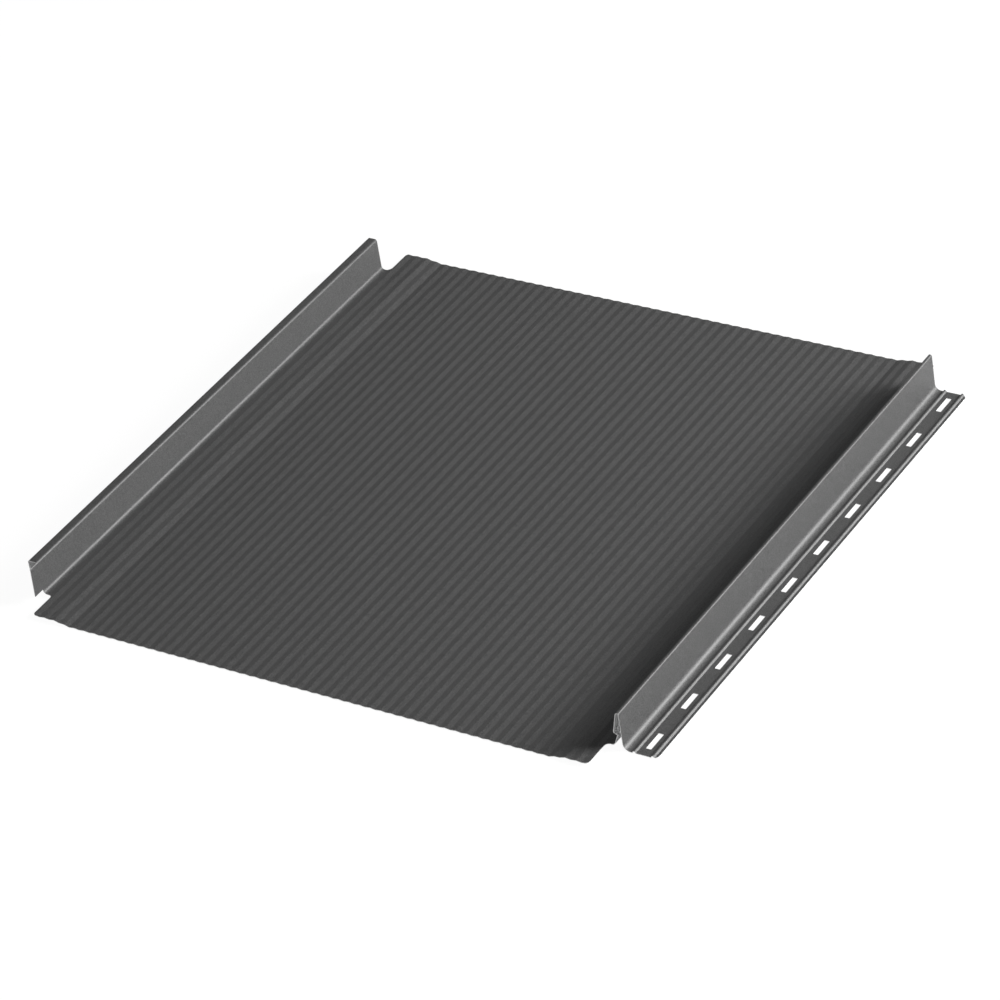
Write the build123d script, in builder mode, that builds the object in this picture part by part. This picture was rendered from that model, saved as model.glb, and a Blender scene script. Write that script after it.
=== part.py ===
from build123d import *

import os
from math import radians, tan

# Snap-lock standing seam roof panel: one length of roll-formed coated steel sheet, in millimetres.
# The origin is on the floor under the middle of the panel. +X runs from the female seam to the
# nailing flange, +Y runs up the roof, and +Z is up. The section is drawn as the line of the coated
# face, from the lip of the female seam to the edge of the nailing flange, and thickened downwards.

# The sheet, and the width of roof that one panel covers
sheet = 0.5
cover_width = 520.0
seam_clearance = 0.2

# Lengths along the roof: the pan reaches past both ends of the seams
seam_length = 484.0
pan_overhang = 26.2
pan_length = seam_length + 2 * pan_overhang

# Female seam: web, flat cap, outer leg and the hook that snaps under the male rib
cap_height = 31.75
cap_width = 8.75
cap_bend = 1.2
web_bend = 1.5
pan_bend = 3.2
hook_top = 12.5
hook_depth = 2.8
hook_rise = 3.0
lip_drop = 3.4
lip_flare = 2.2
hook_bend = 0.8

# Tab left standing on the web at the lower end, for folding over the cap
web_tab_length = 10.1
web_tab_lean = 1.5
web_tab_bottom = 6.3
web_tab_top = 31.1

# Male rib: a narrow crest, a leg that leans out to a bulge, and a ledge that the hook catches
crest_height = 32.5
crest_width = 2.8
crest_bend = 0.7
bulge_reach = 7.1
bulge_height = 14.0
ledge_depth = 3.4
ledge_drop = 1.6
ledge_bend = 1.0
foot_spread = 7.65
flange_bend = 5.3

# Nailing flange with two round beads and a row of slots
flange_width = 27.6
bead_width = 3.2
bead_ridge = 2.6
bead_round = 0.75
bead_foot_bend = 0.5
inner_bead_from_leg = 8.35
outer_bead_from_edge = 3.85
flange_corner = 4.2
slot_from_leg = 16.0
slot_length = 18.7
slot_width = 4.25
slot_corner = 0.5
slot_pitch = 50.0
slot_end_margin = 7.0
slot_count = int((seam_length - slot_length - 2 * slot_end_margin) // slot_pitch) + 1

# Pan: a ribbed field between two raised shoulders
shoulder_height = 2.5
left_shoulder = 28.4
right_shoulder = 26.25
shoulder_run = 14.0
rib_pitch = 9.334
rib_height = 0.65
rib_short_face = 4.75
rib_bend = 3.0
first_valley = 5.05
pan_corner = 3.0

# Notches between the pan and the seams, at both ends
left_notch = 8.2
right_notch = 6.25
near_notch_corner = 4.0
far_notch_corner = 4.5

# Heights of the coated face, from the floor
pan_level = sheet
shoulder_level = pan_level + shoulder_height
cap_level = pan_level + cap_height
crest_level = pan_level + crest_height

# Places across the panel, with the origin midway between the outer leg and the flange edge
panel_width = cap_width + cover_width - sheet - seam_clearance + flange_width
outer_leg_x = -panel_width / 2
web_x = outer_leg_x + cap_width
male_leg_x = web_x - sheet + cover_width - seam_clearance
flange_edge_x = male_leg_x + flange_width
male_foot_x = male_leg_x - foot_spread
slot_x = male_leg_x + slot_from_leg
pan_left_x = web_x + left_notch
pan_right_x = male_foot_x - right_notch
field_left_x = web_x + left_shoulder + shoulder_run
field_right_x = male_foot_x - right_shoulder - shoulder_run


def female_seam():
    """Corners of the hook, outer leg, cap and web, each as x, z and inside radius."""
    hook_x = outer_leg_x + hook_depth
    hook_z = pan_level + hook_top - hook_rise
    return [
        (hook_x - lip_flare, hook_z - lip_drop, 0),
        (hook_x, hook_z, hook_bend),
        (outer_leg_x, pan_level + hook_top, hook_bend),
        (outer_leg_x, cap_level, cap_bend),
        (web_x, cap_level, web_bend),
        (web_x, shoulder_level, pan_bend),
    ]


def pan_level_at(x):
    """Height of the valleys between the small ribs: low over the field, raised at both shoulders."""
    past_field = max(field_left_x - x, x - field_right_x, 0)
    return pan_level + shoulder_height * min(past_field / shoulder_run, 1)


def pan():
    """Corners of the small ribs: to the right, a short face rises to a crest and a long one falls."""
    corners = []
    valley_x = web_x + first_valley
    while valley_x + rib_short_face < male_foot_x - 2 * pan_bend:
        crest_x = valley_x + rib_short_face
        corners.append((valley_x, pan_level_at(valley_x), rib_bend))
        corners.append((crest_x, pan_level_at(crest_x) + rib_height, rib_bend))
        valley_x += rib_pitch
    return corners


def male_seam():
    """Corners of the foot, ledge, bulge and crest of the male rib."""
    ledge_x = male_leg_x - bulge_reach + ledge_depth
    return [
        (male_foot_x, shoulder_level, pan_bend),
        (ledge_x, pan_level + bulge_height - ledge_drop, ledge_bend),
        (male_leg_x - bulge_reach, pan_level + bulge_height, ledge_bend),
        (male_leg_x - crest_width, crest_level, crest_bend),
        (male_leg_x, crest_level, crest_bend),
        (male_leg_x, pan_level, flange_bend),
    ]


def bead(x):
    """Corners of one round stiffening bead, centred at x."""
    return [
        (x - bead_width / 2, pan_level, bead_foot_bend),
        (x, pan_level + bead_ridge, bead_round),
        (x + bead_width / 2, pan_level, bead_foot_bend),
    ]


def nailing_flange():
    """Corners of both beads and the free edge."""
    beads = bead(male_leg_x + inner_bead_from_leg) + bead(flange_edge_x - outer_bead_from_edge)
    return beads + [(flange_edge_x, pan_level, 0)]


def thickened(corners):
    """The two faces of the sheet, as corners with radii: the coated face, and the back below it."""
    points = [Vector(x, z) for x, z, _ in corners]
    runs = [(b - a).normalized() for a, b in zip(points, points[1:])]
    downs = [Vector(run.Y, -run.X) for run in runs]
    coated, back = [(points[0], 0)], [(points[0] + downs[0] * sheet, 0)]
    for point, (_, _, radius), before, after in zip(points[1:], corners[1:], downs, downs[1:]):
        turns_left = before.X * after.Y - before.Y * after.X > 0
        mitre = (before + after) * (sheet / (1 + before.dot(after)))
        coated.append((point, radius if turns_left else radius + sheet))
        back.append((point + mitre, radius + sheet if turns_left else radius))
    coated.append((points[-1], 0))
    back.append((points[-1] + downs[-1] * sheet, 0))
    return coated, back


def bent_line(face):
    """One face of the sheet, as straight runs joined by bends."""
    points = [point for point, _ in face]
    run_start = points[0]
    pieces = []
    for before, (corner, radius), after in zip(points, face[1:], points[2:]):
        arriving = (corner - before).normalized()
        leaving = (after - corner).normalized()
        trim = radius * tan(radians(arriving.get_angle(leaving)) / 2)
        bend_start = corner - arriving * trim
        bend_end = corner + leaving * trim
        pieces.append(Line(run_start, bend_start, mode=Mode.PRIVATE))
        pieces.append(TangentArc(bend_start, bend_end, tangent=arriving, mode=Mode.PRIVATE))
        run_start = bend_end
    pieces.append(Line(run_start, points[-1], mode=Mode.PRIVATE))
    return pieces


with BuildPart() as roof_panel:
    # The rolled section, along the whole pan
    coated_face, back_face = thickened(female_seam() + pan() + male_seam() + nailing_flange())
    with BuildSketch(Plane.XZ) as section:
        with BuildLine():
            add(bent_line(coated_face) + bent_line(back_face))
            Line(coated_face[0][0], back_face[0][0])
            Line(coated_face[-1][0], back_face[-1][0])
        make_face()
    extrude(amount=pan_length / 2, both=True)
    rolled = roof_panel.part

    # The trimmed outline seen from above: seams and flange cut back, pan left long
    with BuildSketch() as outline:
        with Locations(((outer_leg_x + flange_edge_x) / 2, 0)):
            Rectangle(flange_edge_x - outer_leg_x, seam_length)
        flange_corners = outline.vertices().group_by(Axis.X)[-1]
        fillet(flange_corners, flange_corner)
        with Locations(((pan_left_x + pan_right_x) / 2, 0)):
            Rectangle(pan_right_x - pan_left_x, pan_length)
        rows = outline.vertices().group_by(Axis.Y)
        fillet(rows[0] + rows[-1], pan_corner)
        inner = outline.vertices().filter_by(lambda v: pan_left_x - 1 < v.X < pan_right_x + 1)
        inner = inner.filter_by(lambda v: abs(abs(v.Y) - seam_length / 2) < 0.01)
        fillet(inner.filter_by(lambda v: v.Y < 0), near_notch_corner)
        fillet(inner.filter_by(lambda v: v.Y > 0), far_notch_corner)
    extrude(amount=2 * crest_height, mode=Mode.INTERSECT)

    # The tab on the web at the lower end, cut off level in the bend to the cap
    with BuildPart() as web_tab:
        with BuildSketch(Plane.YZ.offset(web_x)):
            with BuildLine():
                near_y = -seam_length / 2 - web_tab_length
                tab_bottom = pan_level + web_tab_bottom
                tab_top = pan_level + web_tab_top
                Polyline(
                    (-seam_length / 2, tab_bottom),
                    (near_y, tab_bottom),
                    (near_y + web_tab_lean, tab_top),
                    (-seam_length / 2, tab_top),
                    close=True,
                )
            make_face()
        extrude(amount=-cap_width / 2)
        add(rolled, mode=Mode.INTERSECT)
    add(web_tab.part)

    # The row of slots, for screws that let the panel slide as it grows with heat
    with BuildSketch():
        with Locations((slot_x, 0)):
            with GridLocations(0, slot_pitch, 1, slot_count):
                RectangleRounded(slot_width, slot_length, slot_corner)
    extrude(amount=2 * sheet, mode=Mode.SUBTRACT)

roof_panel.part.label = "roof_panel"
os.makedirs("parts", exist_ok=True)
export_step(roof_panel.part, "parts/roof_panel.step")
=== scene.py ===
from math import atan2, ceil, cos, pi, radians, sin, sqrt, tan

import bpy
from mathutils import Matrix, Vector


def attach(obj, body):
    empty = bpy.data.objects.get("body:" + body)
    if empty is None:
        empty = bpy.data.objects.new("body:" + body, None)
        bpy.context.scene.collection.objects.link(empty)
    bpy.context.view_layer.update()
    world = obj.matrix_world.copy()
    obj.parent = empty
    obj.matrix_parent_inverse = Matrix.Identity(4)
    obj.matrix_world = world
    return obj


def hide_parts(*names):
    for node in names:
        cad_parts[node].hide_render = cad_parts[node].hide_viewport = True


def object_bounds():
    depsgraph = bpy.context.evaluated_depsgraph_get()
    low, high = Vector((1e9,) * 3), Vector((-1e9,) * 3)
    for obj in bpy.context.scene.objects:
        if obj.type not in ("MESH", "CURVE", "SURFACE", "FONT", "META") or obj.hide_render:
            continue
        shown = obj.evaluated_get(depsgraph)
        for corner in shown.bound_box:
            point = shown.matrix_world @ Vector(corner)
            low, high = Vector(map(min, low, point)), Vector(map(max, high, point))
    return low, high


# A short snap-lock roof panel, rolled from one sheet of coated steel
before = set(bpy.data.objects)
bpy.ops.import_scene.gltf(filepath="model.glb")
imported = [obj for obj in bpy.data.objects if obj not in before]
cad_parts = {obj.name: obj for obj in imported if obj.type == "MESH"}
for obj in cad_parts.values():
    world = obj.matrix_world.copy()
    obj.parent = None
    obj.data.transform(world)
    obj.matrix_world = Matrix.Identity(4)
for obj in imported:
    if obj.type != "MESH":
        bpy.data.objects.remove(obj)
cad_low, cad_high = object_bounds()

MM = 0.001

# The sheet, the width of roof that it covers, and its lengths along the roof
SHEET = 0.5 * MM
COVER_WIDTH = 520 * MM
SEAM_CLEARANCE = 0.2 * MM
SEAM_LENGTH = 484 * MM
PAN_OVERHANG = 26.2 * MM
PAN_LENGTH = SEAM_LENGTH + 2 * PAN_OVERHANG

# Female seam: web, flat cap, outer leg and the hook that snaps under the male rib
CAP_HEIGHT = 31.75 * MM
CAP_WIDTH = 8.75 * MM
CAP_BEND = 1.2 * MM
WEB_BEND = 1.5 * MM
PAN_BEND = 3.2 * MM
HOOK_TOP = 12.5 * MM
HOOK_DEPTH = 2.8 * MM
HOOK_RISE = 3.0 * MM
LIP_DROP = 3.4 * MM
LIP_FLARE = 2.2 * MM
HOOK_BEND = 0.8 * MM

# Tab left standing on the web at the lower end
WEB_TAB_LENGTH = 10.1 * MM
WEB_TAB_LEAN = 1.5 * MM
WEB_TAB_BOTTOM = 6.3 * MM
WEB_TAB_TOP = 31.1 * MM

# Male rib: a narrow crest, a leg that leans out to a bulge, and a ledge under it
CREST_HEIGHT = 32.5 * MM
CREST_WIDTH = 2.8 * MM
CREST_BEND = 0.7 * MM
BULGE_REACH = 7.1 * MM
BULGE_HEIGHT = 14.0 * MM
LEDGE_DEPTH = 3.4 * MM
LEDGE_DROP = 1.6 * MM
LEDGE_BEND = 1.0 * MM
FOOT_SPREAD = 7.65 * MM
FLANGE_BEND = 5.3 * MM

# Nailing flange with two round beads and a row of slots
FLANGE_WIDTH = 27.6 * MM
BEAD_WIDTH = 3.2 * MM
BEAD_RIDGE = 2.6 * MM
BEAD_ROUND = 0.75 * MM
BEAD_FOOT_BEND = 0.5 * MM
INNER_BEAD_FROM_LEG = 8.35 * MM
OUTER_BEAD_FROM_EDGE = 3.85 * MM
FLANGE_CORNER = 4.2 * MM
SLOT_FROM_LEG = 16.0 * MM
SLOT_LENGTH = 18.7 * MM
SLOT_WIDTH = 4.25 * MM
SLOT_CORNER = 0.5 * MM
SLOT_PITCH = 50 * MM
SLOT_COUNT = 10

# Pan: small ribs over a low field and two raised shoulders
SHOULDER_HEIGHT = 2.5 * MM
LEFT_SHOULDER = 28.4 * MM
RIGHT_SHOULDER = 26.25 * MM
SHOULDER_RUN = 14.0 * MM
RIB_PITCH = 9.334 * MM
RIB_HEIGHT = 0.65 * MM
RIB_SHORT_FACE = 4.75 * MM
RIB_BEND = 3.0 * MM
FIRST_VALLEY = 5.05 * MM
PAN_CORNER = 3.0 * MM

# Notches between the pan and the seams, at both ends
LEFT_NOTCH = 8.2 * MM
RIGHT_NOTCH = 6.25 * MM
NEAR_NOTCH_CORNER = 4.0 * MM
FAR_NOTCH_CORNER = 4.5 * MM

# Heights of the coated face, and places across the panel, from the CAD box's own lowest corner
PAN_LEVEL = cad_low.z + SHEET
SHOULDER_LEVEL = PAN_LEVEL + SHOULDER_HEIGHT
CAP_LEVEL = PAN_LEVEL + CAP_HEIGHT
CREST_LEVEL = PAN_LEVEL + CREST_HEIGHT
OUTER_LEG_X = cad_low.x
WEB_X = OUTER_LEG_X + CAP_WIDTH
MALE_LEG_X = WEB_X - SHEET + COVER_WIDTH - SEAM_CLEARANCE
FLANGE_EDGE_X = MALE_LEG_X + FLANGE_WIDTH
MALE_FOOT_X = MALE_LEG_X - FOOT_SPREAD
SLOT_X = MALE_LEG_X + SLOT_FROM_LEG
PAN_LEFT_X = WEB_X + LEFT_NOTCH
PAN_RIGHT_X = MALE_FOOT_X - RIGHT_NOTCH
FIELD_LEFT_X = WEB_X + LEFT_SHOULDER + SHOULDER_RUN
FIELD_RIGHT_X = MALE_FOOT_X - RIGHT_SHOULDER - SHOULDER_RUN

# How finely the sheet is drawn: the most that a facet of a bend turns, and the facets of a cut corner
FACET_TURN = radians(6)
CUT_CORNER_FACETS = 8

# Points closer than this along the sheet are drawn as one, and a side takes in points this near its ends
SAME_POINT = 0.002 * MM
SIDE_MARGIN = 0.003 * MM

# Slack for rounding, and the halvings that find a width
ROUNDING = 1e-9
HALVINGS = 50

# The order of the materials on the sheet
COATED, BACKING, CUT = range(3)


def female_seam():
    """Corners of the hook, outer leg, cap and web, each as x, z and inside radius."""
    hook_x = OUTER_LEG_X + HOOK_DEPTH
    hook_z = PAN_LEVEL + HOOK_TOP - HOOK_RISE
    return [
        (hook_x - LIP_FLARE, hook_z - LIP_DROP, 0),
        (hook_x, hook_z, HOOK_BEND),
        (OUTER_LEG_X, PAN_LEVEL + HOOK_TOP, HOOK_BEND),
        (OUTER_LEG_X, CAP_LEVEL, CAP_BEND),
        (WEB_X, CAP_LEVEL, WEB_BEND),
        (WEB_X, SHOULDER_LEVEL, PAN_BEND),
    ]


def valley_level(x):
    """Height of the valleys between the small ribs: low over the field, raised at both shoulders."""
    past_field = max(FIELD_LEFT_X - x, x - FIELD_RIGHT_X, 0)
    return PAN_LEVEL + SHOULDER_HEIGHT * min(past_field / SHOULDER_RUN, 1)


def small_ribs():
    """Corners of the small ribs: to the right, a short face rises to a crest and a long one falls."""
    corners = []
    valley_x = WEB_X + FIRST_VALLEY
    while valley_x + RIB_SHORT_FACE < MALE_FOOT_X - 2 * PAN_BEND:
        crest_x = valley_x + RIB_SHORT_FACE
        corners.append((valley_x, valley_level(valley_x), RIB_BEND))
        corners.append((crest_x, valley_level(crest_x) + RIB_HEIGHT, RIB_BEND))
        valley_x += RIB_PITCH
    return corners


def male_rib():
    """Corners of the foot, ledge, bulge and crest of the male rib."""
    ledge_x = MALE_LEG_X - BULGE_REACH + LEDGE_DEPTH
    return [
        (MALE_FOOT_X, SHOULDER_LEVEL, PAN_BEND),
        (ledge_x, PAN_LEVEL + BULGE_HEIGHT - LEDGE_DROP, LEDGE_BEND),
        (MALE_LEG_X - BULGE_REACH, PAN_LEVEL + BULGE_HEIGHT, LEDGE_BEND),
        (MALE_LEG_X - CREST_WIDTH, CREST_LEVEL, CREST_BEND),
        (MALE_LEG_X, CREST_LEVEL, CREST_BEND),
        (MALE_LEG_X, PAN_LEVEL, FLANGE_BEND),
    ]


def bead(x):
    """Corners of one round stiffening bead of the flange, centred at x."""
    return [
        (x - BEAD_WIDTH / 2, PAN_LEVEL, BEAD_FOOT_BEND),
        (x, PAN_LEVEL + BEAD_RIDGE, BEAD_ROUND),
        (x + BEAD_WIDTH / 2, PAN_LEVEL, BEAD_FOOT_BEND),
    ]


def nailing_flange():
    """Corners of both beads and the flange's free edge."""
    beads = bead(MALE_LEG_X + INNER_BEAD_FROM_LEG) + bead(FLANGE_EDGE_X - OUTER_BEAD_FROM_EDGE)
    return beads + [(FLANGE_EDGE_X, PAN_LEVEL, 0)]


class RolledSection:
    """The line of the coated face across the panel, measured by its length from the lip."""

    def __init__(self, corners):
        self.stretches = []
        self.bend_middles = [0]
        self.width = 0
        points = [Vector((x, z)) for x, z, _ in corners]
        here = points[0]
        for before, corner, after, (_, _, radius) in zip(points, points[1:], points[2:], corners[1:]):
            arriving = (corner - before).normalized()
            leaving = (after - corner).normalized()
            turn = atan2(arriving.cross(leaving), arriving.dot(leaving))
            bend = radius if turn > 0 else radius + SHEET
            trim = bend * tan(abs(turn) / 2)
            bend_start = corner - arriving * trim
            heading = atan2(arriving.y, arriving.x)
            self.add_stretch(here, heading, (bend_start - here).length, 0)
            self.bend_middles.append(self.width + bend * abs(turn) / 2)
            self.add_stretch(bend_start, heading, bend * abs(turn), turn)
            here = corner + leaving * trim
        last = points[-1] - here
        self.add_stretch(here, atan2(last.y, last.x), last.length, 0)

    def add_stretch(self, start, heading, length, turn):
        """Adds a straight run, or a bend through the given turn."""
        self.stretches.append((self.width, start, heading, length, turn))
        self.width += length

    def place(self, across):
        """The point of the coated face, and the way that it faces, at this width from the lip."""
        begun, start, heading, length, turn = max(
            (stretch for stretch in self.stretches if stretch[0] <= across + ROUNDING),
            key=lambda stretch: stretch[0],
        )
        gone = min(across - begun, length)
        angle = heading + turn * gone / length
        facing = Vector((-sin(angle), cos(angle)))
        if turn == 0:
            return start + Vector((cos(heading), sin(heading))) * gone, facing
        centre = start + Vector((-sin(heading), cos(heading))) * (length / turn)
        return centre - facing * (length / turn), facing

    def columns(self):
        """Widths where a run ends, and where each facet of a bend ends."""
        widths = [self.width]
        for begun, _, _, length, turn in self.stretches:
            facets = max(2, ceil(abs(turn) / FACET_TURN)) if turn else 1
            widths += [begun + length * step / facets for step in range(facets)]
        return widths

    def width_at(self, axis, value, low, high):
        """The width between low and high at which x (axis 0) or z (axis 1) reaches this value."""
        rising = self.place(high)[0][axis] > self.place(low)[0][axis]
        for _ in range(HALVINGS):
            middle = (low + high) / 2
            if (self.place(middle)[0][axis] < value) == rising:
                low = middle
            else:
                high = middle
        return (low + high) / 2


def corner_cut(distance, radius):
    """How far a rounded corner draws an end back, at this distance in from the side."""
    inside = max(radius - distance, 0)
    return radius - sqrt(max(radius * radius - inside * inside, 0))


class Blank:
    """The flat sheet before rolling: its cut ends and punched slots, across and along the roof."""

    def __init__(self, section, web_top, web_foot, male_foot):
        self.tab_top = section.width_at(1, PAN_LEVEL + WEB_TAB_TOP, web_top, web_foot)
        self.tab_bottom = section.width_at(1, PAN_LEVEL + WEB_TAB_BOTTOM, web_top, web_foot)
        self.pan_left = section.width_at(0, PAN_LEFT_X, web_foot, male_foot)
        self.pan_right = section.width_at(0, PAN_RIGHT_X, web_foot, male_foot)
        self.slot_middle = section.width_at(0, SLOT_X, male_foot, section.width)
        self.width = section.width

    def near_end(self, across, beside):
        """Where the lower end is cut, at a width, on the same side of any step as beside."""
        if self.tab_top < beside < self.tab_bottom:
            up_the_tab = (self.tab_bottom - across) / (self.tab_bottom - self.tab_top)
            return -SEAM_LENGTH / 2 - WEB_TAB_LENGTH + WEB_TAB_LEAN * up_the_tab
        return -self.end(across, beside, NEAR_NOTCH_CORNER)

    def far_end(self, across, beside):
        """Where the upper end is cut."""
        return self.end(across, beside, FAR_NOTCH_CORNER)

    def end(self, across, beside, notch_corner):
        """Distance of a cut end from the middle of the panel."""
        if self.pan_left < beside < self.pan_right:
            from_side = min(across - self.pan_left, self.pan_right - across)
            return PAN_LENGTH / 2 - corner_cut(from_side, PAN_CORNER)
        from_pan = max(self.pan_left - across, across - self.pan_right)
        from_edge = self.width - across
        return SEAM_LENGTH / 2 + corner_cut(from_pan, notch_corner) - corner_cut(from_edge, FLANGE_CORNER)

    def slot_gaps(self, across, beside):
        """The punched slots met at this width, each from its lower to its upper end."""
        if abs(beside - self.slot_middle) > SLOT_WIDTH / 2:
            return []
        from_side = SLOT_WIDTH / 2 - abs(across - self.slot_middle)
        half = SLOT_LENGTH / 2 - corner_cut(from_side, SLOT_CORNER)
        middles = [SLOT_PITCH * (n - (SLOT_COUNT - 1) / 2) for n in range(SLOT_COUNT)]
        return [(middle - half, middle + half) for middle in middles]

    def metal(self, across, beside):
        """The stretches of sheet left at this width, from the lower end to the upper end."""
        ends = [self.near_end(across, beside)]
        for gap in self.slot_gaps(across, beside):
            ends += gap
        ends.append(self.far_end(across, beside))
        return list(zip(ends[::2], ends[1::2]))

    def columns(self):
        """Widths where the outline steps, and where each facet of its round corners ends."""
        steps = [self.tab_top, self.tab_bottom, self.pan_left, self.pan_right]
        rounds = [
            (self.pan_left, PAN_CORNER),
            (self.pan_right, -PAN_CORNER),
            (self.pan_left, -FAR_NOTCH_CORNER),
            (self.pan_right, FAR_NOTCH_CORNER),
            (self.pan_left, -NEAR_NOTCH_CORNER),
            (self.pan_right, NEAR_NOTCH_CORNER),
            (self.width, -FLANGE_CORNER),
            (self.slot_middle - SLOT_WIDTH / 2, SLOT_CORNER),
            (self.slot_middle + SLOT_WIDTH / 2, -SLOT_CORNER),
        ]
        for edge, reach in rounds:
            for n in range(CUT_CORNER_FACETS + 1):
                steps.append(edge + reach * (1 - cos(pi / 2 * n / CUT_CORNER_FACETS)))
        return steps


def near_duplicates_gone(places):
    """The places in order, without those that all but repeat the one before."""
    kept = []
    for place in sorted(places):
        if not kept or place - kept[-1] > SAME_POINT:
            kept.append(place)
    return kept


class DrawnFace:
    """The coated face as points and flat faces, drawn column by column across the sheet."""

    def __init__(self, section, blank):
        self.points = []
        self.facings = []
        self.numbers = []
        columns = near_duplicates_gone(section.columns() + blank.columns())
        strips, stops = self.cut_strips(blank, columns)
        for across, column_stops in zip(columns, stops):
            self.add_column(section, across, near_duplicates_gone(column_stops))
        self.faces = []
        for n, (left_low, left_high), (right_low, right_high) in strips:
            left_side = self.between(n, left_low, left_high)
            right_side = self.between(n + 1, right_low, right_high)
            self.faces.append(right_side + left_side[::-1])

    def cut_strips(self, blank, columns):
        """The strips of metal between neighbouring columns, and where they stop on each column."""
        strips = []
        stops = [set() for _ in columns]
        for n, (left, right) in enumerate(zip(columns, columns[1:])):
            beside = (left + right) / 2
            for on_left, on_right in zip(blank.metal(left, beside), blank.metal(right, beside)):
                strips.append((n, on_left, on_right))
                stops[n].update(on_left)
                stops[n + 1].update(on_right)
        return strips, stops

    def add_column(self, section, across, stops):
        """Adds the points of one column, each with the way that the sheet faces there."""
        point, facing = section.place(across)
        numbers = {}
        for along in stops:
            numbers[along] = len(self.points)
            self.points.append(Vector((point.x, along, point.y)))
            self.facings.append(Vector((facing.x, 0, facing.y)))
        self.numbers.append(numbers)

    def between(self, n, low, high):
        """Points of one column from the lower to the upper end of a strip's side."""
        numbers = self.numbers[n]
        return [numbers[along] for along in numbers if low - SIDE_MARGIN < along < high + SIDE_MARGIN]


def rolled_sheet(name):
    """The whole panel as one closed mesh: coated face, back face and cut edges."""
    seam, ribs = female_seam(), small_ribs()
    section = RolledSection(seam + ribs + male_rib() + nailing_flange())
    web_top, web_foot = section.bend_middles[len(seam) - 2 : len(seam)]
    male_foot = section.bend_middles[len(seam) + len(ribs)]
    drawn = DrawnFace(section, Blank(section, web_top, web_foot, male_foot))

    coated = drawn.faces
    back = len(drawn.points)
    back_points = [point - facing * SHEET for point, facing in zip(drawn.points, drawn.facings)]
    backing = [[corner + back for corner in reversed(face)] for face in coated]
    edges = {(a, b) for face in coated for a, b in zip(face, face[1:] + face[:1])}
    cut = sorted((b, a, a + back, b + back) for a, b in edges if (b, a) not in edges)

    mesh = bpy.data.meshes.new(name)
    mesh.from_pydata(drawn.points + back_points, [], coated + backing + cut)
    for material in (coated_face(), backing_coat(), cut_edge()):
        mesh.materials.append(material)
    kinds = [COATED] * len(coated) + [BACKING] * len(backing) + [CUT] * len(cut)
    corner_normals = []
    for polygon, kind in zip(mesh.polygons, kinds):
        polygon.material_index = kind
        polygon.use_smooth = True
        if kind == COATED:
            corner_normals += [drawn.facings[v] for v in polygon.vertices]
        elif kind == BACKING:
            corner_normals += [-drawn.facings[v - back] for v in polygon.vertices]
        else:
            corner_normals += [polygon.normal.copy() for _ in polygon.vertices]
    mesh.normals_split_custom_set(corner_normals)
    sheet = bpy.data.objects.new(name, mesh)
    bpy.context.collection.objects.link(sheet)
    return sheet


class Value:
    """A number that varies over a surface. Arithmetic on it adds Math nodes."""

    def __init__(self, finish, socket):
        self.finish = finish
        self.socket = socket

    def math(self, operation, first, second):
        return self.finish.node("ShaderNodeMath", {"operation": operation}, {0: first, 1: second})[0]

    def __add__(self, other):
        return self.math("ADD", self, other)

    def __radd__(self, other):
        return self.math("ADD", other, self)

    def __sub__(self, other):
        return self.math("SUBTRACT", self, other)

    def __rsub__(self, other):
        return self.math("SUBTRACT", other, self)

    def __mul__(self, other):
        return self.math("MULTIPLY", self, other)

    def __rmul__(self, other):
        return self.math("MULTIPLY", other, self)


class Finish:
    """The nodes of one material, or of the sky."""

    def __init__(self, owner):
        owner.use_nodes = True
        self.owner = owner
        self.tree = owner.node_tree
        self.tree.nodes.clear()

    def node(self, kind, settings=None, sockets=None):
        """Adds a node: its settings first, then the values or links of its sockets."""
        node = self.tree.nodes.new(kind)
        for name, setting in (settings or {}).items():
            setattr(node, name, setting)
        for name, value in (sockets or {}).items():
            if isinstance(value, Value):
                self.tree.links.new(value.socket, node.inputs[name])
            else:
                node.inputs[name].default_value = value
        return [Value(self, output) for output in node.outputs]

    def place(self):
        """The point of the sheet in the panel's own frame."""
        _, _, _, own_frame, *_ = self.node("ShaderNodeTexCoord")
        return own_frame

    def noise(self, scale, detail, stretch=(1, 1, 1)):
        """Cloudy noise about 0, with its features drawn out along an axis by a small stretch."""
        mapped = self.node("ShaderNodeMapping", {}, {"Vector": self.place(), "Scale": stretch})[0]
        sockets = {"Vector": mapped, "Scale": scale, "Detail": detail}
        return self.node("ShaderNodeTexNoise", {}, sockets)[0] - 0.5

    def grey(self, value):
        """A neutral colour from a value."""
        return self.node("ShaderNodeCombineColor", {}, {0: value, 1: value, 2: value})[0]

    def bump(self, height, depth):
        """A normal from a height, where a height of 1 is this deep."""
        return self.node("ShaderNodeBump", {}, {"Height": height, "Distance": depth})[0]

    def surface(self, sockets):
        """Ends the material in one Principled surface."""
        shader = self.node("ShaderNodeBsdfPrincipled", {}, sockets)[0]
        self.node("ShaderNodeOutputMaterial", {}, {0: shader})
        return self.owner

    def rays(self):
        """Two shares, each 1 or 0: rays from the camera, and rays off glossy or through clear things."""
        path = self.node("ShaderNodeLightPath")
        camera, glossy, transmission = path[0], path[3], path[6]
        return camera, glossy + transmission


# The finishes: how light each is, and how rough. White is 1
COATING_GREY, COATING_ROUGHNESS = 0.055, 0.49
BACKING_GREY, BACKING_ROUGHNESS = 0.7, 0.42
CUT_GREY, CUT_ROUGHNESS = 0.62, 0.5

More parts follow.
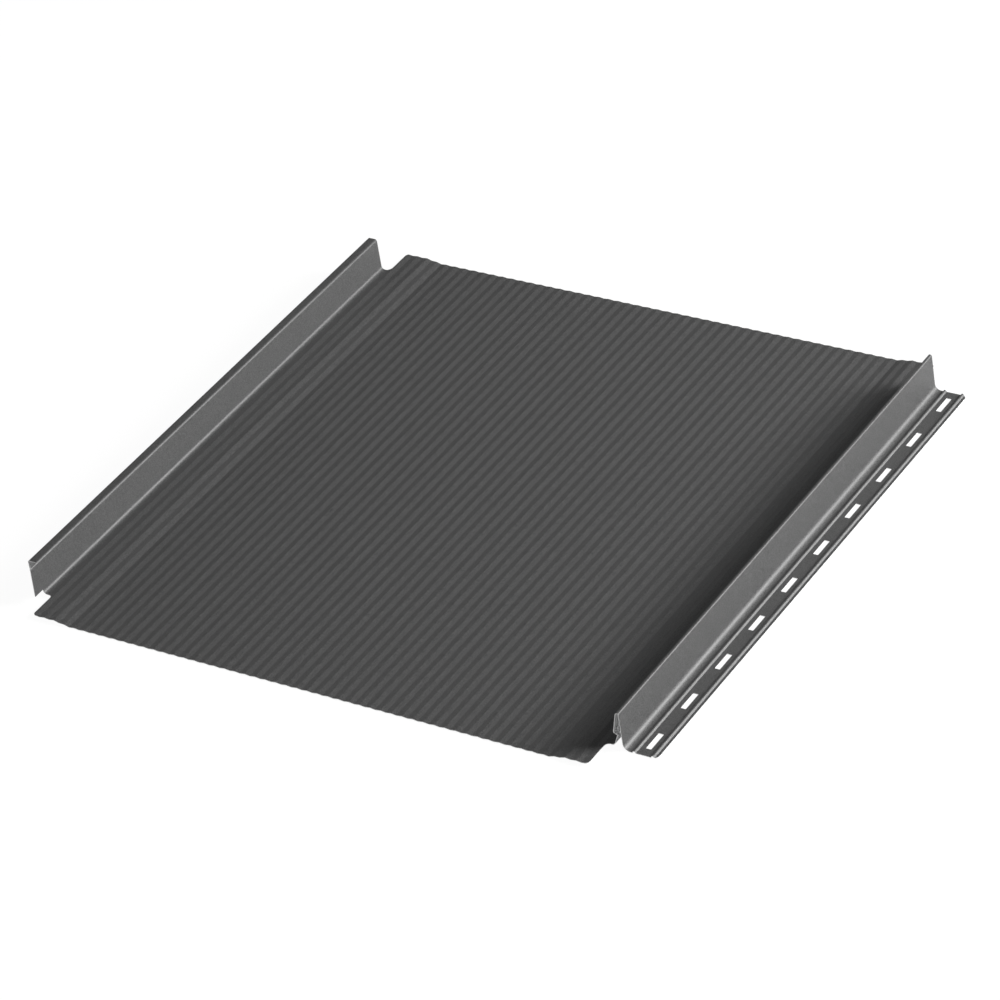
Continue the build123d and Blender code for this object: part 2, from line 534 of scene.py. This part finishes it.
# Their noises, in features per metre. Rolling draws them out along the roof, and the shears through the sheet
COATING_GRAIN = 1500
COATING_MOTTLE = 160
COATING_MARKS = 300
COATING_MARKS_STRETCH = (1, 0.02, 1)
COATING_DEPTH = 0.05 * MM
BACKING_CLOUD = 60
BACKING_MARKS = 260
BACKING_MARKS_STRETCH = (1, 0.015, 1)
BACKING_DEPTH = 0.03 * MM
SHEAR_MARKS = 1500
SHEAR_MARKS_STRETCH = (1, 1, 0.1)
SHEAR_DEPTH = 0.04 * MM


def coated_face():
    """Neutral grey coil coating, satin, with a fine grain and faint marks along the rolling."""
    finish = Finish(bpy.data.materials.new("coated_face"))
    grain = finish.noise(COATING_GRAIN, detail=0)
    mottle = finish.noise(COATING_MOTTLE, detail=2)
    marks = finish.noise(COATING_MARKS, detail=2, stretch=COATING_MARKS_STRETCH)
    lighter = grain * 0.1 + mottle * 0.005 + marks * 0.003
    rougher = grain * 0.3 + mottle * 0.08
    raised = grain + mottle * 0.3
    return finish.surface(
        {
            "Base Color": finish.grey(COATING_GREY + lighter),
            "Roughness": COATING_ROUGHNESS + rougher,
            "Normal": finish.bump(raised, COATING_DEPTH),
        }
    )


def backing_coat():
    """Thin, lighter backing coat on the underside."""
    finish = Finish(bpy.data.materials.new("backing_coat"))
    cloud = finish.noise(BACKING_CLOUD, detail=3)
    marks = finish.noise(BACKING_MARKS, detail=2, stretch=BACKING_MARKS_STRETCH)
    lighter = cloud * 0.03 + marks * 0.03
    rougher = cloud * 0.1
    return finish.surface(
        {
            "Base Color": finish.grey(BACKING_GREY + lighter),
            "Roughness": BACKING_ROUGHNESS + rougher,
            "Normal": finish.bump(marks, BACKING_DEPTH),
        }
    )


def cut_edge():
    """Bare steel and zinc where the sheet was sheared and punched."""
    finish = Finish(bpy.data.materials.new("cut_edge"))
    shear = finish.noise(SHEAR_MARKS, detail=2, stretch=SHEAR_MARKS_STRETCH)
    lighter = shear * 0.12
    rougher = shear * 0.2
    return finish.surface(
        {
            "Base Color": finish.grey(CUT_GREY + lighter),
            "Roughness": CUT_ROUGHNESS + rougher,
            "Normal": finish.bump(shear, SHEAR_DEPTH),
        }
    )


WHITE = (1, 1, 1, 1)

# The white ground: nearly all its light to the camera is its own, so the panel's shadow stays faint
GROUND_SIZE = 14.0
GROUND_GAP = 0.2 * MM
GROUND_COLOUR = (0.5, 0.5, 0.5, 1)
GROUND_OWN_LIGHT = 0.86
GROUND_REFLECTED = 0.25
GROUND_GLOW = 1.11

# The sky: its own even light, and how much of full white the coating reflects
SKY_LEVEL = 0.02
SKY_REFLECTED = 0.21

# Soft square lamps: bearing from +X towards +Y, elevation, size and power
LAMP_DISTANCE = 3.2
LAMPS = {
    "key": (25, 25, 1.1, 145),
    "low": (45, 12, 1.1, 47),
    "high": (22, 40, 1.1, 50),
    "front": (-74, 14, 1.4, 36),
    "back": (195, 12, 2.0, 20),
}

# The camera that took the photograph, found from the panel's own straight edges. Its bearing is as the lamps'
CAMERA_AIM = Vector((0.000555, -0.00702, 0))
CAMERA_BEARING = -52.789
CAMERA_ELEVATION = 34.411
CAMERA_ROLL = -9.797
CAMERA_DISTANCE = 3.657
CAMERA_LENS = 170.58
CAMERA_SENSOR = 36


def white_ground():
    """Pale floor that shows white, with a faint shadow under the panel."""
    finish = Finish(bpy.data.materials.new("white_ground"))
    camera, reflected = finish.rays()
    matt = finish.node("ShaderNodeBsdfDiffuse", {}, {"Color": GROUND_COLOUR})[0]
    white = finish.node("ShaderNodeEmission", {}, {"Color": WHITE, "Strength": GROUND_GLOW})[0]
    seen = camera * GROUND_OWN_LIGHT + reflected * GROUND_REFLECTED
    shader = finish.node("ShaderNodeMixShader", {}, {0: seen, 1: matt, 2: white})[0]
    finish.node("ShaderNodeOutputMaterial", {}, {0: shader})
    return finish.owner


def floor():
    """The flat white floor just under the panel."""
    half = GROUND_SIZE / 2
    corners = [(-half, -half, 0), (half, -half, 0), (half, half, 0), (-half, half, 0)]
    mesh = bpy.data.meshes.new("floor")
    mesh.from_pydata(corners, [], [(0, 1, 2, 3)])
    mesh.materials.append(white_ground())
    ground = bpy.data.objects.new("floor", mesh)
    ground.location.z = cad_low.z - GROUND_GAP
    bpy.context.collection.objects.link(ground)


def studio_sky():
    """A dim even light all round, seen as white, and as a pale grey where a surface reflects it."""
    sky = Finish(bpy.data.worlds.new("studio_sky"))
    camera, reflected = sky.rays()
    dim = sky.node("ShaderNodeBackground", {}, {"Color": WHITE, "Strength": SKY_LEVEL})[0]
    white = sky.node("ShaderNodeBackground", {}, {"Color": WHITE, "Strength": 1.0})[0]
    seen = camera + reflected * SKY_REFLECTED
    shader = sky.node("ShaderNodeMixShader", {}, {0: seen, 1: dim, 2: white})[0]
    sky.node("ShaderNodeOutputWorld", {}, {0: shader})
    bpy.context.scene.world = sky.owner


def direction(bearing, elevation):
    """The way to a bearing, in degrees from +X towards +Y, at this elevation."""
    turned, raised = radians(bearing), radians(elevation)
    return Vector((cos(turned) * cos(raised), sin(turned) * cos(raised), sin(raised)))


def softbox(name, bearing, elevation, size, power):
    """One square soft lamp aimed at the middle of the panel."""
    lamp = bpy.data.lights.new(name, "AREA")
    lamp.shape = "SQUARE"
    lamp.size = size
    lamp.energy = power
    towards = direction(bearing, elevation)
    holder = bpy.data.objects.new(name, lamp)
    holder.location = towards * LAMP_DISTANCE
    holder.rotation_mode = "QUATERNION"
    holder.rotation_quaternion = (-towards).to_track_quat("-Z", "Y")
    bpy.context.collection.objects.link(holder)


def camera():
    """A long lens looking down on the panel from the lower right."""
    back = direction(CAMERA_BEARING, CAMERA_ELEVATION)
    level = (-back).to_track_quat("-Z", "Y").to_matrix()
    roll = Matrix.Rotation(radians(CAMERA_ROLL), 3, "Z")
    data = bpy.data.cameras.new("camera")
    data.sensor_width = CAMERA_SENSOR
    data.lens = CAMERA_LENS
    eye = bpy.data.objects.new("camera", data)
    eye.matrix_world = Matrix.Translation(CAMERA_AIM + back * CAMERA_DISTANCE) @ (level @ roll).to_4x4()
    bpy.context.collection.objects.link(eye)
    bpy.context.scene.camera = eye


panel = rolled_sheet("rolled_panel")
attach(panel, "root")
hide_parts("roof_panel")

floor()
studio_sky()
for lamp_name, lamp_setting in LAMPS.items():
    softbox(lamp_name, *lamp_setting)
camera()
bpy.context.scene.view_settings.view_transform = "Standard"
